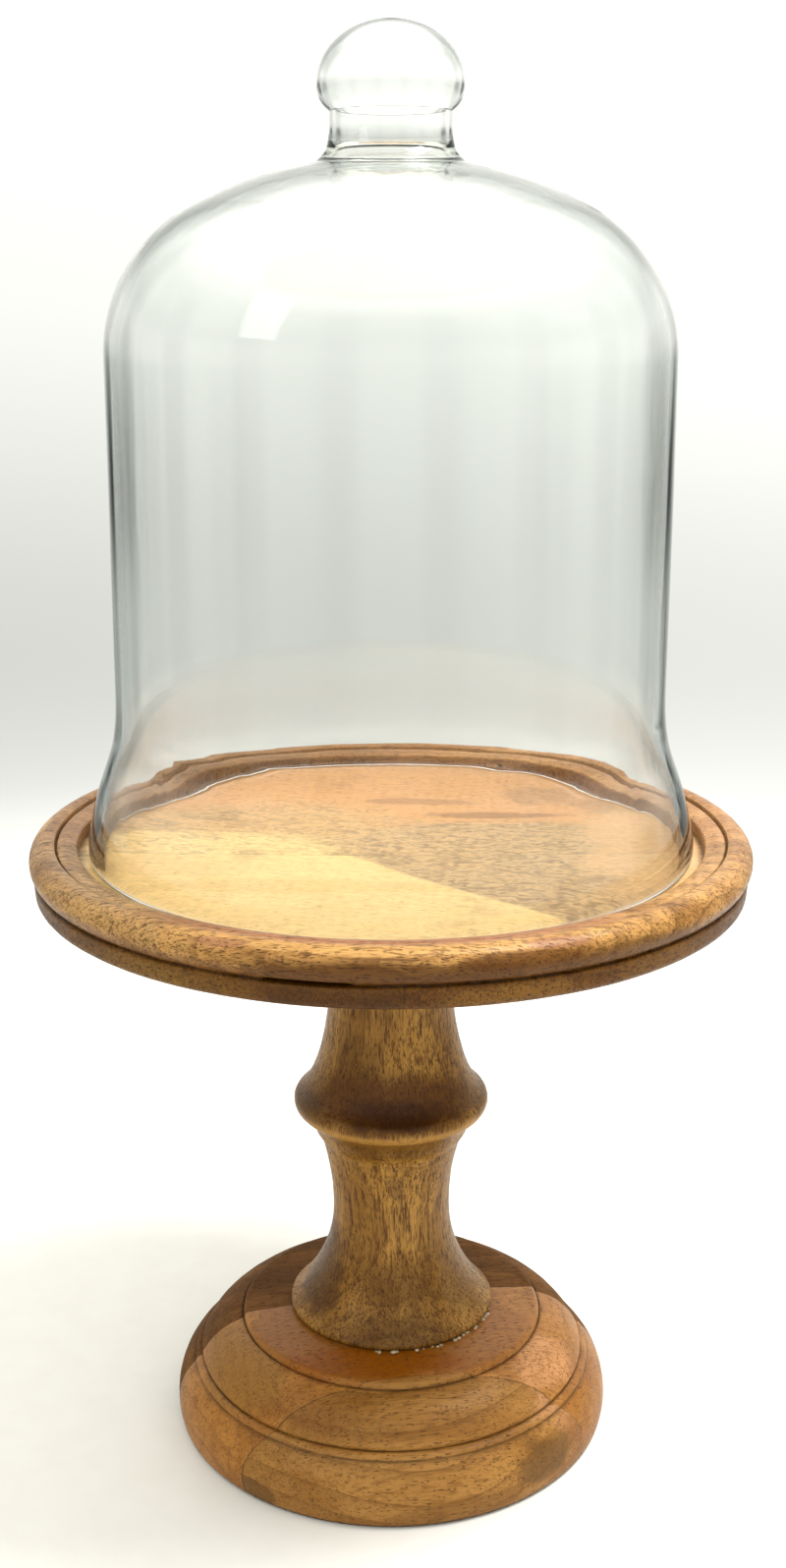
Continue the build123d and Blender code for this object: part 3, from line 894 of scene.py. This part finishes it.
def glue_beads():
    """Dried squeeze-out along the joint of the column and the base."""
    chance = random.Random(41)
    work = bmesh.new()
    for _ in range(30):
        angle = math.radians(chance.uniform(-100, -12))
        size = chance.uniform(0.45, 1.05) * MM
        reach = (44.6 + chance.uniform(-0.2, 1.0)) * MM
        spot = Vector((reach * math.cos(angle), reach * math.sin(angle), base_top * MM + 0.2 * size))
        made = bmesh.ops.create_icosphere(work, subdivisions=2, radius=size)
        for vert in made["verts"]:
            lump = 1 + 0.35 * noise.noise(vert.co * 1500 + Vector((angle * 9, 0, 0)))
            vert.co = Vector((vert.co.x * lump, vert.co.y * lump, vert.co.z * 0.6 * lump)) + spot
    mesh = bpy.data.meshes.new("dried_glue")
    work.to_mesh(mesh)
    work.free()
    piece = bpy.data.objects.new("dried_glue", mesh)
    bpy.context.scene.collection.objects.link(piece)
    tidy_mesh(piece)
    dress(piece, glue_material(), "stand")


def glue_material():
    """Whitish, slightly dirty dried glue."""
    g = Graph(bpy.data.materials.new("dried_glue"))
    dirt = g.noise(g.place(), 900.0, 3.0, 0.6)
    colour = g.mix(g.smooth(dirt, 0.35, 0.65), tint(196, 184, 160), tint(150, 124, 92))
    bump = g.node("ShaderNodeBump", {"Height": dirt, "Strength": 0.5, "Distance": 0.0003})
    finish_surface(g, colour, g.smooth(dirt, 0.3, 0.7, 0.35, 0.6), bump.outputs[0], 0.4)
    return g.owner


# -------- glass


def crown(sphere, start, end, steps):
    """Arc of the crown between two radii, on the sphere of the given size."""
    first, last = (math.acos(r / sphere) for r in (start, end))
    return [
        (sphere * math.cos(t), crown_centre + sphere * math.sin(t))
        for t in np.linspace(first, last, steps + 1)
    ]


def shoulder(inset, steps):
    """Arc from the straight wall to the crown, on a surface inset from the outside."""
    centre = crown_centre + (shoulder_reach**2 - shoulder_axis**2) ** 0.5
    last = math.acos(shoulder_axis / shoulder_reach)
    size = shoulder_radius - inset
    return [
        (shoulder_axis + size * math.cos(t), centre + size * math.sin(t))
        for t in np.linspace(0, last, steps + 1)
    ]


def knob(half_width, half_height, steps):
    """Quarter ellipse over the top of the knob."""
    return [
        (half_width * math.cos(t), knob_middle + half_height * math.sin(t))
        for t in np.linspace(0, math.pi / 2, steps + 1)
    ]


def dome_outline():
    """Outer and inner surface of the blown glass, joined by the round rim."""
    rim_side = rim_foot + 2.3
    flare = ((125.6, rim_side), (121.3, 289.0), (114.0, 311.5), (112.0, wall_foot))
    inner_flare = ((108.5, wall_foot), (110.15, 311.5), (117.45, 289.0), (121.0, rim_side))
    shoulder_foot = shoulder(0, 1)[0][1]
    crown_edge = shoulder_axis / shoulder_reach
    inner_sphere = crown_sphere - glass_thickness
    inner_knob = knob_radius - knob_glass
    knob_height = knob_top_height - knob_middle
    outside = joined(
        arc((121.0, rim_side), (123.3, rim_foot), (125.6, rim_side), 12),
        curve(flare, (0, 1), (-0.01, 1), 10),
        line((112.0, wall_foot), (111.8, shoulder_foot), 20),
        shoulder(0, 20),
        crown(crown_sphere, crown_sphere * crown_edge, 31.5, 12),
        curve(((31.5, 535.99), (25.5, 540.2), (23.5, neck_foot)), (-1, 0.2), (-0.05, 1), 7),
        line((23.5, neck_foot), (23.5, neck_top), 3),
        arc((23.5, neck_top), (27.2, 559.3), (knob_radius, knob_middle), 7),
        knob(knob_radius, knob_height, 18),
    )
    inside = joined(
        knob(inner_knob, knob_height - knob_glass, 16)[::-1],
        arc((inner_knob, knob_middle), (24.8, 559.9), (21.1, neck_top), 7),
        line((21.1, neck_top), (21.1, neck_foot), 3),
        curve(((21.1, neck_foot), (21.7, 538.2), (25.0, 533.54)), (0, -1), (1, -0.25), 7),
        crown(inner_sphere, 25.0, inner_sphere * crown_edge, 12),
        shoulder(glass_thickness, 20)[::-1],
        line((108.3, shoulder_foot), (108.5, wall_foot), 20),
        curve(inner_flare, (0.01, -1), (0, -1), 10),
    )
    return outside, inside


def dome_relief(point, inner):
    """Blown glass isn't even: the two surfaces wander apart, most of all near the foot."""
    radius = math.hypot(point.x, point.y)
    if radius < 1e-6:
        return point
    foot = max(0.0, min(1.0, (345.0 - point.z) / 60.0))
    stretched = Vector((point.x, point.y, point.z * 0.45))
    seed = 31.0 if inner else 17.0
    swell = wobble(stretched, 70, 0.35, 17.0) + wobble(stretched, 45, 0.06, seed)
    swell += wobble(stretched, 22, 0.012 + 0.05 * foot, seed + 3)
    swell += wobble(stretched, 10, 0.003 + 0.012 * foot, seed + 6)
    fade = min(1.0, (radius + 4) / 30.0)
    if point.z < rim_foot + 2.2:
        return pushed(point, 0.5 * swell)
    return pushed(point, fade * swell)


def dome():
    """The bell jar, one closed shell of glass."""
    outside, inside = dome_outline()
    inner_points = {(round(r, 4), round(z, 4)) for r, z in inside[:-1]}

    def relief(point):
        key = (round(math.hypot(point.x, point.y), 4), round(point.z, 4))
        return dome_relief(point, key in inner_points)

    piece = lathe("blown_glass_dome", joined(outside, inside), 360, relief)
    dress(piece, glass_material(), "dome", "glass_dome")


def glass_material():
    """Clear soda-lime glass, faintly grey-green in its thickness, with fine ripples."""
    g = Graph(bpy.data.materials.new("clear_glass"))
    drawn = g.vector("MULTIPLY", g.place(), (60.0, 60.0, 9.0))
    ripple = g.noise(drawn, 1.0, 2.0, 0.5)
    bump = g.node("ShaderNodeBump", {"Height": ripple, "Strength": 0.10, "Distance": 0.0006})
    shader = g.node("ShaderNodeBsdfPrincipled", {"Normal": bump.outputs[0]})
    shader.inputs["Base Color"].default_value = (0.985, 0.995, 0.985, 1.0)
    shader.inputs["Roughness"].default_value = 0.0
    shader.inputs["IOR"].default_value = 1.5
    shader.inputs["Transmission Weight"].default_value = 1.0
    body = g.node("ShaderNodeVolumeAbsorption")
    body.inputs["Color"].default_value = (0.20, 0.28, 0.20, 1.0)
    body.inputs["Density"].default_value = 15.0
    g.node("ShaderNodeOutputMaterial", {"Surface": shader.outputs[0], "Volume": body.outputs[0]})
    return g.owner


# -------- hidden metal


def metal(name, bright, dull, rough):
    """Plated or turned metal: cloudy colour, fine turning lines and small scratches."""
    g = Graph(bpy.data.materials.new(name))
    cloud = g.noise(g.place(), 240.0, 5.0, 0.65)
    rings = g.noise(g.vector("MULTIPLY", g.place(), (60.0, 60.0, 5200.0)), 1.0, 2.0)
    colour = g.mix(g.smooth(cloud, 0.35, 0.68), bright, dull)
    height = g.math("ADD", g.math("MULTIPLY", cloud, 0.5), rings)
    bump = g.node("ShaderNodeBump", {"Height": height, "Strength": 0.35, "Distance": 0.00008})
    cloudy = g.smooth(cloud, 0.3, 0.7, rough, rough + 0.18)
    finish_surface(g, colour, cloudy, bump.outputs[0], 0.5, 1.0)
    return g.owner


def hidden_metal():
    """New materials on the CAD's own fasteners, which can't be seen from outside."""
    zinc = metal("zinc_plating", tint(206, 208, 206), tint(158, 160, 152), 0.24)
    brass = metal("turned_brass", tint(222, 188, 112), tint(168, 130, 66), 0.28)
    for node in ("base_lag_screw", "base_washer", "stem_hanger_bolt"):
        repaint(node, zinc)
    repaint("plate_threaded_insert", brass)


def repaint(node, material):
    """Gives every face of a CAD node one material."""
    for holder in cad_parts[node].material_slots:
        holder.material = material


# -------- stage


def dress(piece, material, body, node=None):
    """Gives a piece its material and its body, and hides the CAD node it stands for."""
    piece.data.materials.append(material)
    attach(piece, body)
    if node:
        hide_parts(node)


def floor():
    """White paper under the object, fading into the backdrop far from it."""
    work = bmesh.new()
    bmesh.ops.create_circle(work, cap_ends=True, segments=96, radius=3.0)
    mesh = bpy.data.meshes.new("paper_floor")
    work.to_mesh(mesh)
    work.free()
    piece = bpy.data.objects.new("paper_floor", mesh)
    bpy.context.scene.collection.objects.link(piece)
    piece.location.z = -0.0002
    g = Graph(bpy.data.materials.new("white_paper"))
    mottle = g.noise(g.place(), 60.0, 4.0, 0.6)
    mottled = g.smooth(mottle, 0.3, 0.7)
    colour = g.mix(mottled, (0.82, 0.805, 0.755, 1.0), (0.84, 0.825, 0.78, 1.0))
    shader = g.node("ShaderNodeBsdfPrincipled", {"Base Color": colour, "Roughness": 0.9})
    away = g.length(g.place())
    clear = g.node("ShaderNodeBsdfTransparent")
    fade = {0: g.smooth(away, 0.50, 1.15), 1: shader.outputs[0], 2: clear.outputs[0]}
    faded = g.node("ShaderNodeMixShader", fade)
    g.node("ShaderNodeOutputMaterial", {"Surface": faded.outputs[0]})
    piece.data.materials.append(g.owner)


def backdrop_light(g, x, z):
    """White sweep: a little darker where it bends, brighter above and at one side."""
    wall = g.smooth(z, -0.20, 0.03, 0.70, 1.02)
    sweep = g.smooth(z, -0.20, -0.38, 0.70, 1.15)
    glow = g.smooth(z, 0.0, 0.20, 0.0, 0.40)
    side = g.smooth(x, -0.25, 0.30, 1.0, 1.22)
    return g.math("MULTIPLY", g.math("ADD", g.math("MAXIMUM", wall, sweep), glow), side)


def blend(g, share, low, high):
    """Number between low and high by share."""
    rest = g.math("SUBTRACT", 1.0, share)
    return g.math("ADD", g.math("MULTIPLY", share, high), g.math("MULTIPLY", rest, low))


panel_count = 8.0
under_glass_boost = 1.75
warm_white = (0.99, 1.0, 0.945, 1.0)
glass_green = (0.93, 1.0, 0.93, 1.0)


def gap_light(g, z):
    """Brightness of the gaps between the panels: darkest a little below the horizon."""
    above = g.smooth(z, -0.10, 0.03, 0.06, 0.72)
    below = g.smooth(z, -0.11, -0.19, 0.06, 0.48)
    return g.math("MAXIMUM", above, below)


def upper_belt(g, z):
    """Dimmer belt of the room above the horizon."""
    return g.smooth(z, 0.10, 0.30, 1.0, 0.62)


def seen_through(g, x, y, z, backdrop):
    """What rays through the glass meet: panels with dark gaps under a bright ceiling."""
    around = g.math("COSINE", g.math("MULTIPLY", g.math("ARCTAN2", x, y), panel_count))
    panel = blend(g, g.smooth(around, -0.94, 0.02), gap_light(g, z), 1.0)
    front = g.smooth(y, -0.85, -0.35, 0.62, 1.0)
    panels = g.math("MULTIPLY", g.math("MULTIPLY", panel, upper_belt(g, z)), front)
    ceiling = g.smooth(z, 0.50, 0.80, 0.0, 2.4)
    return g.math("ADD", g.math("MULTIPLY", backdrop, panels), ceiling)


def mirrored_room(g, y, z, backdrop):
    """What the glass reflects: a dark room in front, the white sweep behind, a ceiling."""
    room = blend(g, g.smooth(y, -0.5, -0.95), gap_light(g, z), 0.34)
    walls = blend(g, g.smooth(y, 0.86, 0.98), room, backdrop)
    ceiling = g.smooth(z, 0.50, 0.80, 0.0, 1.2)
    return g.math("ADD", g.math("MULTIPLY", walls, upper_belt(g, z)), ceiling)


def soft_light(g, y, z, backdrop):
    """What lights the wood and the paper, dimmest from the sides."""
    opening = g.smooth(g.math("ABSOLUTE", y), 0.35, 0.88, 0.42, 0.85)
    walls = blend(g, g.smooth(y, 0.35, 0.88), opening, backdrop)
    return g.math("ADD", walls, g.smooth(z, 0.10, 0.95, 0.0, 0.94))


def studio():
    """Soft world: white panels all round with dark gaps that draw the edges of the glass."""
    world = bpy.data.worlds.new("studio")
    bpy.context.scene.world = world
    g = Graph(world)
    x, y, z = g.split(g.node("ShaderNodeTexCoord").outputs["Generated"])[:3]
    backdrop = backdrop_light(g, x, z)
    kinds = g.node("ShaderNodeLightPath").outputs
    transmitted = kinds["Is Transmission Ray"]
    singular = kinds["Is Singular Ray"]
    clear_path = g.math("MULTIPLY", singular, transmitted)
    mirror_path = g.math("MULTIPLY", singular, kinds["Is Reflection Ray"])

    boost = blend(g, transmitted, 1.0, under_glass_boost)
    shown = g.math("MULTIPLY", soft_light(g, y, z, backdrop), boost)
    shown = blend(g, clear_path, shown, seen_through(g, x, y, z, backdrop))
    shown = blend(g, mirror_path, shown, mirrored_room(g, y, z, backdrop))
    shown = blend(g, kinds["Is Camera Ray"], shown, backdrop)
    green = g.math("MULTIPLY", singular, g.smooth(shown, 0.75, 0.35))
    shade = g.mix(green, warm_white, glass_green)
    light = g.node("ShaderNodeBackground", {"Color": shade, "Strength": shown})
    g.node("ShaderNodeOutputWorld", {"Surface": light.outputs[0]})


def lamp(name, place, size, power):
    """Soft rectangular light aimed at the middle of the object."""
    data = bpy.data.lights.new(name, "AREA")
    data.shape = "RECTANGLE"
    data.size, data.size_y = size
    data.energy = power
    made = bpy.data.objects.new(name, data)
    bpy.context.scene.collection.objects.link(made)
    made.location = place
    aim = Vector((0, 0, 0.25)) - made.location
    made.rotation_mode = "QUATERNION"
    made.rotation_quaternion = aim.to_track_quat("-Z", "Y")


camera_distance = 0.750
camera_height = 0.499
camera_side = 0.0008
camera_pitch = math.radians(15.56)
camera_lens = 42.86


def camera():
    """The photographer's place: close in front, looking slightly down."""
    data = bpy.data.cameras.new("photo_camera")
    data.lens = camera_lens
    data.sensor_width = 36.0
    data.clip_start = 0.01
    data.clip_end = 50.0
    made = bpy.data.objects.new("photo_camera", data)
    bpy.context.scene.collection.objects.link(made)
    made.location = (camera_side, -camera_distance, camera_height)
    made.rotation_euler = (math.pi / 2 - camera_pitch, 0.0, 0.0)
    bpy.context.scene.camera = made


# -------- the whole scene

base_boards()
column()
plate_boards()
felt()
glue_beads()
dome()
hidden_metal()
floor()
studio()
lamp("overhead", (0.70, -0.10, 1.75), (0.6, 0.6), 31.0)
lamp("window", (-1.3, -1.0, 1.3), (0.5, 0.8), 2.6)
camera()
bpy.context.scene.view_settings.view_transform = "Standard"
